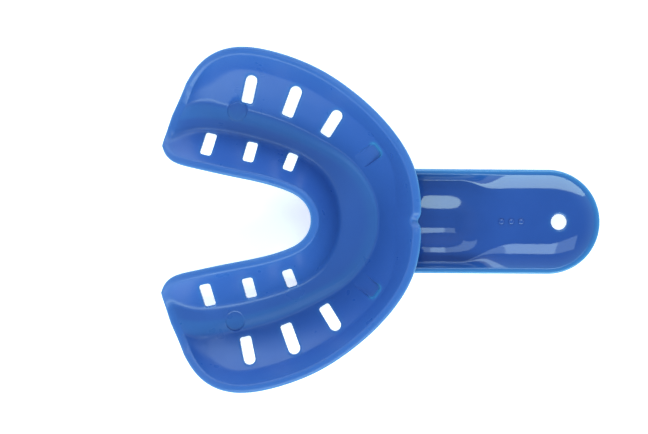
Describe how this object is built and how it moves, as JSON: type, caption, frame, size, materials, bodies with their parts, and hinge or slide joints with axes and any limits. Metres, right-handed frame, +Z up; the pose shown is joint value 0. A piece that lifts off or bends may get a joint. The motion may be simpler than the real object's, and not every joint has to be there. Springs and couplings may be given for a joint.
{
  "type": "dental impression tray",
  "caption": "Perforated lower-arch dental impression tray with an open tongue space, a scooped handle and a hang hole.",
  "frame": {"origin": "centre of the footprint, on the plane that the floor's underside rests on", "axes": "+X along the handle towards its tip, +Y towards the left arm, +Z up out of the open trough; y = 0 is the plane of symmetry"},
  "size_m": [0.098, 0.0764, 0.0154],
  "materials": {
    "tray_plastic": "soft gloss, as moulded",
    "handle_plastic": "polished gloss, as moulded"
  },
  "bodies": {
    "root": {"occlusal_floor": "tray_plastic", "inner_flange": "tray_plastic", "outer_flange": "tray_plastic", "inner_lip": "tray_plastic", "outer_lip": "tray_plastic", "left_heel_lip": "tray_plastic", "right_heel_lip": "tray_plastic", "handle_neck": "handle_plastic", "handle_rim": "handle_plastic", "handle_plate": "handle_plastic", "size_pip_1": "handle_plastic", "size_pip_2": "handle_plastic", "size_pip_3": "handle_plastic"}
  },
  "joints": []
}
